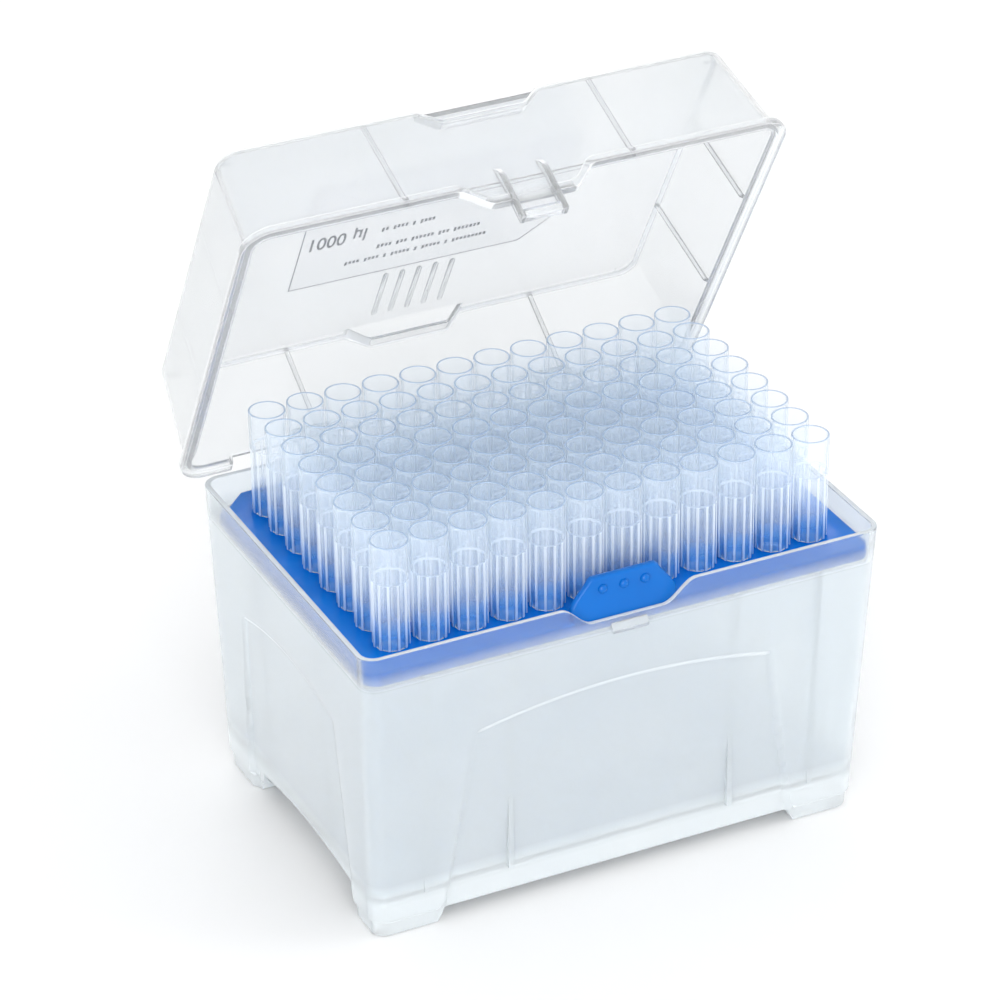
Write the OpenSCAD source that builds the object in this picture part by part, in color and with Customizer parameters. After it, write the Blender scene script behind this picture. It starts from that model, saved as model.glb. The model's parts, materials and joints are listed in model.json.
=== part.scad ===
// Hinged rack of pipette tips: a base box, a lift-out plate that carries the tips, the tips,
// and a lid on two snap hinges with a printed label on its roof.
// X runs along the front, Y runs to the rear and Z is up, in millimetres. The origin is on the
// surface that the rack stands on, below the middle of the grid of tips. The lid is drawn open.

/* [Base box] */
// Length of the base at its rim
base_length = 122.5; // [121.5:0.5:123.5]
// Width of the base at its rim, front to rear
base_width = 87; // [86.5:0.5:88]
// Height of the rim above the surface that the rack stands on
rim_z = 72.5; // [72:0.5:73]
// Thickness of the moulded walls
wall = 1.2; // [1:0.1:1.4]
// How much the length narrows from the rim to the lower edge
length_draft = 5.1; // [4:0.1:6]
// How far the front wall leans in from the rim to the lower edge
front_draft = 4.2; // [3:0.1:4.4]
// How far the rear wall leans in from the rim to the lower edge
rear_draft = 0.9; // [0.5:0.1:2]
// Height of the floor's upper face
floor_top = 9.7; // [9:0.1:10]
// Depth of the arched recess in each wall
recess = 1; // [0.6:0.1:1.2]

/* [Tip plate] */
// Height of the plate's upper face, on which the tips stand
plate_z = 68; // [67.5:0.1:68.5]
// Thickness of the plate's deck
deck = 1.6; // [1.2:0.1:2]
// Gap between the plate and the walls around it
plate_gap = 0.5; // [0.4:0.1:0.8]
// Radius of the holes that the tips hang in
hole_r = 3.5; // [3.46:0.01:3.6]

/* [Tips] */
// Distance between neighbouring tips, both ways
pitch = 9; // [9:0.05:9.1]
// Height of the tips' rims
tip_rim_z = 92.7; // [92:0.1:93]
// Height of the tips' lower ends
tip_end_z = 14.2; // [14:0.1:16]
// Outer radius of a tip's collar
collar_r = 4.1; // [4:0.05:4.2]
// Radius of the socket inside a tip's collar
socket_r = 3.7; // [3.6:0.05:3.75]
// Depth of the socket
socket_depth = 9; // [8:0.5:10]
// Number of ribs below the collar
tip_ribs = 12; // [8:1:12]

/* [Lid] */
// Length of the lid over the bead around its edge
lid_length = 127.8; // [127.5:0.1:128.5]
// Height of the lid from its lower edge to its roof
lid_height = 25.5; // [25:0.1:26]
// Angle by which the lid stands open
lid_open = 60; // [0:1:110]
// Height of the bead around the lid's edge
bead_height = 2.05; // [1.8:0.05:2.5]
// How far the bead stands out from the wall
bead_out = 1.4; // [1.2:0.1:1.6]
// Thickness of the lid's walls
lid_wall = 1; // [0.8:0.1:1]
// Radius of the hinge pins
pin_r = 1.2; // [1:0.1:1.3]

/* [Hidden] */
$fn = 48;

frosted = [0.88, 0.93, 0.98, 0.55];
clear = [0.92, 0.95, 0.97, 0.35];
blue = [0.03, 0.36, 0.78];

columns = 12;
rows = 8;
skin = 0.01;

// Base: the walls lean, so their places depend on the height
skirt_z = 3.1;
base_r = 4;
lean_span = rim_z - skirt_z;
front_lean = atan(front_draft / lean_span);
rear_lean = atan(rear_draft / lean_span);
side_lean = atan(length_draft / 2 / lean_span);
function leaned(z) = (rim_z - z) / lean_span;
function base_x(z) = base_length / 2 - length_draft / 2 * leaned(z);
function base_front(z) = -base_width / 2 + front_draft * leaned(z);
function base_rear(z) = base_width / 2 - rear_draft * leaned(z);

// Arched recesses: half width of the opening at the floor, half width and height where the arc springs,
// height of the peak, and radius of the arc
long_arch = [43.2, 35.8, 46, 52.3, 152];
short_arch = [28.7, 24.5, 45, 51.5, 82];

// Feet at the corners, and the shallow arch between them at the sides
foot_wall = 3.7;
foot_size = 20;
front_foot_depth = 14;
foot_x = 52;
front_foot_y = -34;
rear_foot_y = 35;
gap_half = 24;
gap_y = -1.5;
gap_top = 8.6;
gap_arc_r = 140.6;

// Finger notch in the front rim, which a tongue of the lid's edge fills
notch_top = 30.2;
notch_bottom = 18;
notch_depth = 4.9;
catch_width = 8.6;
catch_height = 2.1;
catch_out = 1.2;

// Supports under the plate, on the inside of the walls
support_x = [-46.5, -26.5, 26.5, 46.5];
support_y = [-16, 16];
support_t = 1.2;
support_under = 1.6;
skirt_bottom = plate_z - 3;

// Plate
plate_x = base_x(plate_z) - wall - plate_gap;
plate_front = base_front(plate_z) + wall + plate_gap;
plate_rear = base_rear(plate_z) - wall - plate_gap;
plate_skirt_t = 1.2;
corner_cut = 7;
tab_width = 25;
tab_top_width = 15;
tab_top_z = 77;
tab_t = 2.2;
tab_hollow_r = 20;
tab_hollow = 0.6;
bump_spacing = 5;
bump_r = 0.9;

// Tips
seat_gap = 0.06;
rib_t = 0.5;
core_top_r = 3.62;
core_plate_r = 3.4;
bore_top_r = 3.2;
bore_plate_r = 2.95;
end_r = 0.8;
end_bore_r = 0.4;
end_taper = 4;

// Lid, in its closed place
edge_z = rim_z - 0.5;
roof_z = edge_z + lid_height;
lid_front = -base_width / 2 - 2.65;
lid_rear = lid_front + 92.95;
roof_x = 59.55;
roof_front = lid_front + 4.87;
roof_rear = lid_rear - 3.8;
roof_round = 1.5;
hood_r = 5.2;
bead_r = 7;
seat_z = rim_z + 0.1;
tongue_depth = 5.2;
tongue_top = 32.4;
tongue_bottom = 20.4;
rear_gap_x = 50.2;
rear_gap_z = 74.35;
hinge_y = 45.6;
hinge_z = 67.2;
hinge_x = 30;
arm_width = 9;
barrel_r = 1.9;
lug_t = 2.8;
lug_gap = 0.3;
lug_r = 2.1;
bore_gap = 0.05;
pocket_top = 28.6;
pocket_bottom = 19.6;
pocket_depth = 3.9;
pocket_in = 2.7;
loop_width = 9.9;
loop_t = 1.1;
loop_bottom = 61.9;
bar_height = 2.2;
grip_count = 5;
grip_pitch = 4.1;
grip_y = 20.4;
grip_size = [1.3, 16, 0.8];

// Ribs inside the lid's walls: where they stand, front, rear and sides, their thickness and depth
front_rib_x = [-26.5, 26.5];
rear_rib_x = [-29, 32];
side_rib_y = [-16, 16];
lid_rib_t = 1;
lid_rib_depth = 0.5;
lid_rib_z = rim_z + 1.2;

// Label on the roof
label_x = [-33, 31.5];
label_y = [-19, 19.3];
label_cut = 7.2;
label_t = 0.12;

module at_corners(x, front, rear, z, r) {
    for (side = [-1, 1]) {
        translate([side * (x - r), front + r, z]) cylinder(r = r, h = skin, $fn = 32);
        translate([side * (x - r), rear - r, z]) cylinder(r = r, h = skin, $fn = 32);
    }
}

module rounded_slab(x, front, rear, r) {
    translate([-x + r, front]) square([2 * (x - r), rear - front]);
    translate([-x, front + r]) square([2 * x, rear - front - 2 * r]);
    for (side = [-1, 1], y = [front + r, rear - r]) translate([side * (x - r), y]) circle(r = r);
}

// ---- base box ----

module base_block(inset, low, high) {
    r = max(base_r - inset, 0.8);
    hull() for (z = [low, high - skin])
        at_corners(base_x(z) - inset, base_front(z) + inset, base_rear(z) - inset, z, r);
}

// The outline of an arched recess: legs that spread towards the floor under a flat arc
module arch(form, grow) {
    foot = form[0];
    peak = form[3];
    slope = (foot - form[1]) / form[2];
    top = peak + 10;
    intersection() {
        polygon([[-foot - grow, -1], [foot + grow, -1],
            [foot - slope * top + grow, top], [-foot + slope * top - grow, top]]);
        translate([0, peak - form[4]]) circle(r = form[4] + grow, $fn = 96);
    }
}

// The recesses as solids, grow larger all round and in depth
module recesses(grow) {
    out = 12;
    translate([0, base_front(rim_z) + recess + grow, rim_z]) rotate([front_lean, 0, 0])
        translate([0, 0, -rim_z]) rotate([90, 0, 0]) linear_extrude(out) arch(long_arch, grow);
    translate([0, base_rear(rim_z) - recess - grow, rim_z]) rotate([-rear_lean, 0, 0])
        translate([0, out, -rim_z]) rotate([90, 0, 0]) linear_extrude(out) arch(long_arch, grow);
    for (side = [0, 1]) mirror([side, 0, 0])
        translate([base_x(rim_z) - recess - grow, 0, rim_z]) rotate([0, side_lean, 0])
            translate([0, 0, -rim_z]) rotate([90, 0, 90]) linear_extrude(out) arch(short_arch, grow);
}

module notch(top, bottom, depth, z) {
    polygon([[-top / 2, z], [-bottom / 2, z - depth], [bottom / 2, z - depth], [top / 2, z],
        [top / 2, z + 8], [-top / 2, z + 8]]);
}

module foot_areas() {
    for (side = [-1, 1]) {
        translate([side * foot_x, front_foot_y, -1]) cube([foot_size, front_foot_depth, 10], center = true);
        translate([side * foot_x, rear_foot_y, -1]) cube([foot_size, foot_size, 10], center = true);
    }
}

module feet() {
    intersection() {
        difference() {
            base_block(0.8, 0, skirt_z + 0.5);
            translate([0, 0, -1]) base_block(0.8 + foot_wall, 0, skirt_z + 2);
        }
        foot_areas();
    }
}

// The side walls end higher than the front and rear walls, in a shallow arch
module side_wall_gaps() {
    for (side = [-1, 1]) translate([side * base_x(0), gap_y, 0]) rotate([90, 0, 90]) linear_extrude(8, center = true) {
        translate([-gap_half, -1]) square([2 * gap_half, 8]);
        intersection() {
            translate([0, gap_top - gap_arc_r]) circle(r = gap_arc_r, $fn = 96);
            translate([-gap_half, 0]) square([2 * gap_half, 12]);
        }
    }
}

module plate_supports() {
    intersection() {
        base_block(0.4, floor_top - 0.5, skirt_bottom - 0.05);
        union() {
            for (x = support_x) {
                translate([x - support_t / 2, -60, 0]) cube([support_t, 60 + plate_front + support_under, 80]);
                translate([x - support_t / 2, plate_rear - support_under, 0]) cube([support_t, 20, 80]);
            }
            for (y = support_y, side = [-1, 1])
                translate([side > 0 ? plate_x - support_under : support_under - plate_x - 20, y - support_t / 2, 0])
                    cube([20, support_t, 80]);
        }
    }
}

module catch_wedge() {
    z = rim_z - notch_depth - 1.1;
    y = base_front(z);
    translate([-catch_width / 2, 0, 0]) rotate([90, 0, 90]) linear_extrude(catch_width)
        polygon([[y + 0.8, z], [y - 0.2, z], [y - catch_out, z - catch_height + 0.6],
            [y - catch_out, z - catch_height], [y + 0.8, z - catch_height]]);
}

module hinge_lugs() {
    lug_x = arm_width / 2 + lug_gap;
    for (station = [-hinge_x, hinge_x], side = [0, 1])
        translate([station, 0, 0]) mirror([side, 0, 0]) translate([lug_x, 0, 0]) {
            translate([0, hinge_y, hinge_z]) rotate([0, 90, 0]) cylinder(r = lug_r, h = lug_t);
            translate([0, base_rear(hinge_z) - 0.6, hinge_z - lug_r]) cube([lug_t, 2.8, 2 * lug_r]);
        }
}

module base_box() {
    color(frosted) difference() {
        union() {
            difference() {
                base_block(0, skirt_z, rim_z);
                difference() {
                    base_block(wall, floor_top, rim_z + 1);
                    recesses(wall);
                }
                difference() {
                    base_block(wall, skirt_z - 1, floor_top - wall);
                    recesses(wall);
                }
                recesses(0);
                side_wall_gaps();
                translate([0, -30, 0]) rotate([90, 0, 0]) linear_extrude(20)
                    notch(notch_top, notch_bottom, notch_depth, rim_z);
            }
            feet();
            plate_supports();
            catch_wedge();
            hinge_lugs();
        }
        for (station = [-hinge_x, hinge_x])
            translate([station, hinge_y, hinge_z]) rotate([0, 90, 0])
                cylinder(r = pin_r + bore_gap, h = arm_width + 2 * lug_t + 4, center = true);
    }
}

// ---- tip plate ----

module plate_outline(inset) {
    x = plate_x - inset;
    cut = corner_cut - 0.4 * inset;
    difference() {
        rounded_slab(x, plate_front + inset, plate_rear - inset, 3);
        polygon([[-x - 1, plate_rear - inset - cut - 1], [-x - 1, plate_rear + 1],
            [-x + cut + 1, plate_rear - inset + 1]]);
    }
}

module finger_tab() {
    front = plate_front + 0.2;
    half = tab_width / 2;
    top = tab_top_width / 2;
    difference() {
        translate([0, front + tab_t, 0]) rotate([90, 0, 0]) linear_extrude(tab_t)
            polygon([[-half, plate_z - 1], [half, plate_z - 1], [half, plate_z + 2],
                [top + 1.6, tab_top_z - 1.6], [top, tab_top_z], [-top, tab_top_z],
                [-top - 1.6, tab_top_z - 1.6], [-half, plate_z + 2]]);
        translate([0, front + tab_hollow - tab_hollow_r, plate_z + 5.4]) rotate([0, 90, 0])
            cylinder(r = tab_hollow_r, h = 60, center = true);
    }
    for (x = [-bump_spacing, 0, bump_spacing])
        translate([x, front + 0.75, tab_top_z - 3.1]) sphere(r = bump_r, $fn = 24);
}

module tip_plate() {
    color(blue) {
        difference() {
            translate([0, 0, skirt_bottom]) linear_extrude(plate_z - skirt_bottom) plate_outline(0);
            translate([0, 0, skirt_bottom - 1]) linear_extrude(plate_z - deck - skirt_bottom + 1)
                plate_outline(plate_skirt_t);
            for (i = [1:columns], j = [1:rows]) at_place(i, j)
                translate([0, 0, skirt_bottom - 1]) cylinder(r = hole_r, h = 10);
        }
        finger_tab();
    }
}

// ---- tips ----

module at_place(column, row)
    translate([(column - (columns + 1) / 2) * pitch, ((rows + 1) / 2 - row) * pitch, 0]) children();

module tip() {
    shoulder = tip_rim_z - socket_depth;
    seat = plate_z + seat_gap;
    rotate_extrude() polygon([[socket_r, tip_rim_z], [collar_r, tip_rim_z], [collar_r, shoulder],
        [core_top_r, shoulder - 0.4], [core_plate_r, seat], [core_plate_r - 0.05, plate_z - 2],
        [end_r + 0.25, tip_end_z + end_taper], [end_r, tip_end_z], [end_bore_r, tip_end_z],
        [end_bore_r + 0.22, tip_end_z + end_taper],
        [bore_plate_r, plate_z - 2], [bore_top_r, shoulder - 0.4], [socket_r, shoulder]]);
    for (turn = [0:tip_ribs - 1]) rotate([0, 0, turn * 360 / tip_ribs])
        translate([core_plate_r - 0.2, -rib_t / 2, seat])
            cube([collar_r - core_plate_r + 0.12, rib_t, shoulder - 0.4 - seat]);
}

module tips_column(column) {
    color(clear) for (row = [1:rows]) at_place(column, row) tip();
}

module single_tip(column, row) {
    color(clear) at_place(column, row) tip();
}

// ---- lid ----

module opened() {
    translate([0, hinge_y, hinge_z]) rotate([-lid_open, 0, 0]) translate([0, -hinge_y, -hinge_z]) children();
}

// How far up the lid's wall a height is, from 0 at the lower edge to 1 at the roof
function up(z) = (z - edge_z) / lid_height;
function lid_x(z) = (lid_length / 2 - bead_out) * (1 - up(z)) + roof_x * up(z);
function lid_y(z) = (lid_front + bead_out) * (1 - up(z)) + roof_front * up(z);
function lid_back(z) = (lid_rear - bead_out) * (1 - up(z)) + roof_rear * up(z);

module hood(inset, low, high, soft) {
    r = hood_r - inset;
    hull() {
        for (z = [low, high - roof_round]) at_corners(lid_x(z) - inset, lid_y(z) + inset, lid_back(z) - inset, z, r);
        at_corners(lid_x(high) - inset - soft, lid_y(high) + inset + soft, lid_back(high) - inset - soft,
            high - skin, r - soft / 2);
    }
}

// A pocket in the upper edge, front and rear, where fingers and the foot of a stacked rack go
module pockets(grow) {
    for (y = [lid_y(roof_z) + pocket_in + grow, lid_back(roof_z) - pocket_in - grow])
        translate([0, y > 0 ? y + 12 : y, 0]) rotate([90, 0, 0]) linear_extrude(12)
            notch(pocket_top + 2 * grow, pocket_bottom + 2 * grow, pocket_depth + grow, roof_z);
}

// The tongue that fills the notch: shift raises its lower edge
module tongue(shift) {
    notch(tongue_top - 2 * shift * 0.6, tongue_bottom - shift * 0.6, tongue_depth, edge_z + shift);
}

module bead() {
    difference() {
        translate([0, 0, edge_z]) linear_extrude(bead_height) difference() {
            rounded_slab(lid_length / 2, lid_front, lid_rear, bead_r);
            rounded_slab(lid_x(edge_z) - 0.6, lid_y(edge_z) + 0.6, lid_back(edge_z) - 0.6, 5);
        }
        translate([-rear_gap_x, 20, edge_z - 1]) cube([2 * rear_gap_x, 40, 10]);
        translate([0, -30, 0]) rotate([90, 0, 0]) linear_extrude(20) tongue(bead_height);
    }
}

module tongue_plate() {
    intersection() {
        translate([-30, lid_y(edge_z) - skin, edge_z - 10]) cube([60, lid_wall - 0.05, 12]);
        translate([0, -30, 0]) rotate([90, 0, 0]) linear_extrude(20) tongue(0);
    }
    translate([0, lid_y(edge_z) + 0.4, 0]) rotate([90, 0, 0]) linear_extrude(bead_out + 0.4) intersection() {
        difference() {
            tongue(0);
            tongue(bead_height);
        }
        translate([-tongue_top / 2, edge_z - 10]) square([tongue_top, 10 + bead_height]);
    }
}

module latch_loop() {
    outer = lid_front - 0.9;
    loop_back = lid_front + 1.5;
    for (side = [-1, 1]) translate([side * (loop_width / 2) - loop_t / 2, 0, 0]) rotate([90, 0, 90])
        linear_extrude(loop_t) polygon([[lid_y(edge_z + 5) + 0.4, edge_z + 5], [outer + 0.9, edge_z + 3.2],
            [outer, edge_z + 1], [outer, loop_bottom], [loop_back, loop_bottom], [loop_back, edge_z]]);
    translate([-loop_width / 2, outer, loop_bottom]) cube([loop_width, loop_back - outer, bar_height]);
}

module hinge_arms() {
    for (station = [-hinge_x, hinge_x]) translate([station, 0, 0]) {
        translate([-arm_width / 2, lid_back(rear_gap_z) - 1.0, hinge_z]) cube([arm_width, 1.6, 10]);
        translate([0, hinge_y, hinge_z]) rotate([0, 90, 0]) cylinder(r = barrel_r, h = arm_width, center = true);
        translate([0, hinge_y, hinge_z]) rotate([0, 90, 0])
            cylinder(r = pin_r, h = arm_width + 2 * (lug_gap + lug_t - 0.2), center = true);
    }
}

// The ribs fill the space between the inside of the walls and a smaller hood
module lid_ribs() {
    intersection() {
        difference() {
            hood(lid_wall - 0.2, lid_rib_z, roof_z - lid_wall + 0.1, 0.6);
            hood(lid_wall + lid_rib_depth, lid_rib_z - 1, roof_z - lid_wall + 0.2, 0.6);
        }
        union() {
            for (x = front_rib_x) translate([x - lid_rib_t / 2, -60, 60]) cube([lid_rib_t, 50, 60]);
            for (x = rear_rib_x) translate([x - lid_rib_t / 2, 10, 60]) cube([lid_rib_t, 50, 60]);
            for (y = side_rib_y) translate([-80, y - lid_rib_t / 2, 60]) cube([160, lid_rib_t, 60]);
        }
    }
}

// A ridge inside the lid that sits on the base's rim, at the front and the sides
module seat_ridge() {
    intersection() {
        translate([0, 0, seat_z]) linear_extrude(0.9) difference() {
            rounded_slab(lid_x(seat_z) - 0.6, lid_y(seat_z) + 0.6, lid_back(seat_z) - 0.6, 5);
            rounded_slab(base_length / 2 - 0.6, -base_width / 2 + 0.6, 80, 3);
        }
        translate([-80, -80, 0]) cube([160, 118, 100]);
    }
}

module lid() {
    color(clear) opened() {
        difference() {
            hood(0, edge_z, roof_z, roof_round);
            difference() {
                hood(lid_wall, edge_z - 1, roof_z - lid_wall, 0.6);
                pockets(lid_wall);
            }
            pockets(0);
            translate([-rear_gap_x, 20, edge_z - 2]) cube([2 * rear_gap_x, 40, rear_gap_z - edge_z + 2]);
        }
        bead();
        tongue_plate();
        latch_loop();
        hinge_arms();
        seat_ridge();
        lid_ribs();
        for (i = [0:grip_count - 1])
            translate([(i - (grip_count - 1) / 2) * grip_pitch - grip_size[0] / 2, grip_y, roof_z - grip_size[2] / 2])
                cube(grip_size);
    }
}

module lid_label() {
    color("white") opened() translate([0, 0, roof_z]) linear_extrude(label_t)
        polygon([[label_x[0], label_y[0]], [label_x[1], label_y[0]], [label_x[1], label_y[1] - label_cut],
            [label_x[1] - label_cut, label_y[1]], [label_x[0], label_y[1]]]);
}

base_box();
tip_plate();
lid();
lid_label();
tips_column(1);  // tips_column_01
tips_column(2);  // tips_column_02
tips_column(3);  // tips_column_03
tips_column(4);  // tips_column_04
tips_column(5);  // tips_column_05
tips_column(6);  // tips_column_06
tips_column(7);  // tips_column_07
tips_column(8);  // tips_column_08
tips_column(9);  // tips_column_09
tips_column(10);  // tips_column_10
tips_column(11);  // tips_column_11
single_tip(12, 1);  // tip_a12
single_tip(12, 2);  // tip_b12
single_tip(12, 3);  // tip_c12
single_tip(12, 4);  // tip_d12
single_tip(12, 5);  // tip_e12
single_tip(12, 6);  // tip_f12
single_tip(12, 7);  // tip_g12
single_tip(12, 8);  // tip_h12
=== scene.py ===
"""Looks of a hinged rack of pipette tips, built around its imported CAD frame.

Every mesh is drawn in millimetres, in the frame's axes, and scaled to metres when its piece is made.
The lid's pieces are drawn shut and then turned open about the hinge, as the CAD part is."""

import json
import math
from collections import namedtuple

import bmesh
import bpy
from mathutils import Matrix, Vector


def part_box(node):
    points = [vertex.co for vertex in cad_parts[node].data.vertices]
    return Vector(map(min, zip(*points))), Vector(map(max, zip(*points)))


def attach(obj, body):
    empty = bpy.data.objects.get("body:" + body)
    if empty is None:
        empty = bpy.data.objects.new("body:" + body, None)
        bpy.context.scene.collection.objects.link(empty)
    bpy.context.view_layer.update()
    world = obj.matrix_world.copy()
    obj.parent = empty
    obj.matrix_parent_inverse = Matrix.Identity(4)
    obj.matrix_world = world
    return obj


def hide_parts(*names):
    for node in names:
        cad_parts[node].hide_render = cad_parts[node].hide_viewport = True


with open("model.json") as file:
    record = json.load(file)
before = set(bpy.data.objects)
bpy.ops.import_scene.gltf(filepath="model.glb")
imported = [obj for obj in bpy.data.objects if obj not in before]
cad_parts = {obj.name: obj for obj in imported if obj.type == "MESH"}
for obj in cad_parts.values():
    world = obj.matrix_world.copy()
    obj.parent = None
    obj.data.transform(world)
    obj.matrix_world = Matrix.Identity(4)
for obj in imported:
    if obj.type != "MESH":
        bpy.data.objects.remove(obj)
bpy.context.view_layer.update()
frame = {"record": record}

MM = 0.001


def mm_box(node):
    """A node's lowest and highest corners at rest, in millimetres."""
    low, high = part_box(node)
    return [v / MM for v in low], [v / MM for v in high]


# ---------------------------------------------------------------- sizes

_, base_high = mm_box("base_box")
tip_low, tip_high = mm_box("tip_a12")
hinge = frame["record"]["behaviour"]["joints"][0]

RIM_Z = base_high[2]
BASE_X = base_high[0]
BASE_Y = 43.5
BASE_R = 4.0
WALL = 1.2
SKIRT_Z = 3.1
LENGTH_DRAFT = 2.55
FRONT_DRAFT = 4.2
REAR_DRAFT = 0.9
FLOOR_TOP = 9.7
FLOOR_UNDER = FLOOR_TOP - WALL
FOOT_INSET = 0.7
FOOT_THICK = 3.3
FOOT_FRONT_X = 42.2
FOOT_SIDE_Y = (-26.5, 25.0)
SIDE_GAP_R, SIDE_GAP_Y, SIDE_GAP_REACH, SIDE_GAP_CENTRE_Z = 140.6, -1.5, 24.0, -132.1
BAND_Z = 56.0
BASE_RIB_X = (-46.5, -26.5, 26.5, 46.5)
SIDE_RIB_Y = (-16, 16)
LUG_X = (4.8, 7.6)
LUG_R = 2.1

PLATE_Z = 68.0
DECK = 1.6
SKIRT_DROP = 3.0
PLATE_GAP = 0.5

PITCH = 9.0
COLUMNS = 12
ROWS = 8
TIP_RIM_Z = tip_high[2]
TIP_END_Z = tip_low[2]

EDGE_Z = RIM_Z - 0.5
ROOF_Z = EDGE_Z + 25.5
LID_X = 63.9
LID_FRONT = -46.15
LID_REAR = 46.8
BEAD_OUT = 1.4
BEAD_HEIGHT = 2.05
ROOF_X = 59.55
ROOF_FRONT = LID_FRONT + 4.87
ROOF_REAR = LID_REAR - 3.8
HOOD_R = 5.2
LID_WALL = 1.0
HINGE_Y = hinge["pos_m"][1] / MM
HINGE_Z = hinge["pos_m"][2] / MM
LID_OPEN = -hinge["range_deg"][0]
HINGE_X = 30.0
PIN_R = 1.2

# ---------------------------------------------------------------- mesh helpers


def lerp(a, b, t):
    return a + (b - a) * t


def smooth(t):
    """0 below 0, 1 above 1, and an even bend between them."""
    t = min(max(t, 0.0), 1.0)
    return t * t * (3 - 2 * t)


def spread(low, high, step, extra=()):
    """Even places from low to high, with the extra ones added and their near neighbours left out."""
    count = max(1, round((high - low) / step))
    places = [lerp(low, high, i / count) for i in range(count + 1)]
    kept = [p for p in places if all(abs(p - e) > 0.3 * step for e in extra)]
    return sorted(kept + [e for e in extra if low <= e <= high])


def loft(loops, caps=True, wrap=False):
    """Vertices and faces of the skin over loops that all have the same number of points."""
    count = len(loops[0])
    vertices = [p for loop in loops for p in loop]
    last = len(loops) - 1
    faces = []
    for row in range(last + (1 if wrap else 0)):
        here, there = row * count, ((row + 1) % len(loops)) * count
        for i in range(count):
            j = (i + 1) % count
            faces.append((here + i, here + j, there + j, there + i))
    if caps and not wrap:
        faces.append(tuple(range(count - 1, -1, -1)))
        faces.append(tuple(range(last * count, last * count + count)))
    return vertices, faces


def joined(parts):
    """One list of vertices and faces from several."""
    vertices, faces = [], []
    for part_vertices, part_faces in parts:
        start = len(vertices)
        vertices += part_vertices
        faces += [tuple(i + start for i in face) for face in part_faces]
    return vertices, faces


def moved(part, x=0.0, y=0.0, z=0.0):
    vertices, faces = part
    return [(p[0] + x, p[1] + y, p[2] + z) for p in vertices], faces


def opened(part):
    """A part of the shut lid, turned open about the hinge."""
    vertices, faces = part
    turn = math.radians(LID_OPEN)
    c, s = math.cos(turn), math.sin(turn)
    out = []
    for x, y, z in vertices:
        y, z = y - HINGE_Y, z - HINGE_Z
        out.append((x, HINGE_Y + y * c + z * s, HINGE_Z - y * s + z * c))
    return out, faces


def mesh_of(name, part, material, bevel=0.0, sharp=35):
    vertices, faces = part
    mesh = bpy.data.meshes.new(name)
    mesh.from_pydata([Vector(p) * MM for p in vertices], [], faces)
    bm = bmesh.new()
    bm.from_mesh(mesh)
    bmesh.ops.remove_doubles(bm, verts=bm.verts, dist=0.004 * MM)
    bmesh.ops.dissolve_degenerate(bm, edges=bm.edges, dist=0.001 * MM)
    bmesh.ops.recalc_face_normals(bm, faces=bm.faces)
    if bevel:
        edges = [e for e in bm.edges if e.is_manifold and e.calc_face_angle() > math.radians(30)]
        bmesh.ops.bevel(bm, geom=edges, offset=bevel * MM, segments=2, profile=0.5, affect="EDGES")
    bm.to_mesh(mesh)
    bm.free()
    mesh.shade_smooth()
    mesh.set_sharp_from_angle(angle=math.radians(sharp))
    mesh.materials.append(material)
    return mesh


def place(name, mesh, body, nodes=()):
    """Puts a mesh into the scene as a piece that rides on a body and stands for the named CAD nodes."""
    ob = bpy.data.objects.new(name, mesh)
    bpy.context.scene.collection.objects.link(ob)
    if nodes:
        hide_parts(*nodes)
    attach(ob, body)
    return ob


# A place on the way round a rounded rectangle: its outward normal, how far along its straight side it is
# (None in a corner) and the corner's signs
Place = namedtuple("Place", "nx ny along sx sy")


def around(front, side, corner_steps):
    """Places round a rounded rectangle, from places along the front and the side."""
    places = []

    def corner(sx, sy, start):
        for i in range(corner_steps + 1):
            turn = math.radians(start + 90 * i / corner_steps)
            places.append(Place(math.sin(turn), -math.cos(turn), None, sx, sy))

    places += [Place(0, -1, x, 0, -1) for x in front]
    corner(1, -1, 0)
    places += [Place(1, 0, y, 1, 0) for y in side]
    corner(1, 1, 90)
    places += [Place(0, 1, x, 0, 1) for x in reversed(front)]
    corner(-1, 1, 180)
    places += [Place(-1, 0, y, -1, 0) for y in reversed(side)]
    corner(-1, -1, 270)
    return places


def at(p, x, front, rear, r):
    """Where a place is on the rounded rectangle that reaches x to both sides, front and rear."""
    if p.along is None:
        cx = p.sx * (x - r)
        cy = rear - r if p.sy > 0 else front + r
        return cx + p.nx * r, cy + p.ny * r
    if p.nx:
        return p.nx * x, p.along
    return p.along, rear if p.ny > 0 else front


def bar(x, y, z):
    """A box between pairs of limits."""
    loops = [[(x[0], y[0], h), (x[1], y[0], h), (x[1], y[1], h), (x[0], y[1], h)] for h in z]
    return loft(loops)


def extruded(outline, x):
    """An outline of (y, z) points, drawn out along X between two limits."""
    return loft([[(h, y, z) for y, z in outline] for h in x])


def arc(cy, cz, r, start, end, steps):
    return [(cy + r * math.cos(math.radians(lerp(start, end, i / steps))),
             cz + r * math.sin(math.radians(lerp(start, end, i / steps)))) for i in range(steps + 1)]


def rod(y, z, r, x, soften=0.25):
    """A round bar along X with rounded ends."""
    steps = 32
    loops = []
    for h, inset in ((x[0], soften), (x[0] + soften, 0), (x[1] - soften, 0), (x[1], soften)):
        loops.append([(h, *arc(y, z, r - inset, 0, 360, steps)[i]) for i in range(steps)])
    return loft(loops)


# ---------------------------------------------------------------- base box


def base_lean(z):
    return (RIM_Z - z) / (RIM_Z - SKIRT_Z)


def base_at(p, z, inset):
    return at(p, BASE_X - LENGTH_DRAFT * base_lean(z) - inset, -BASE_Y + FRONT_DRAFT * base_lean(z) + inset,
              BASE_Y - REAR_DRAFT * base_lean(z) - inset, max(BASE_R - inset, 0.8))


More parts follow.
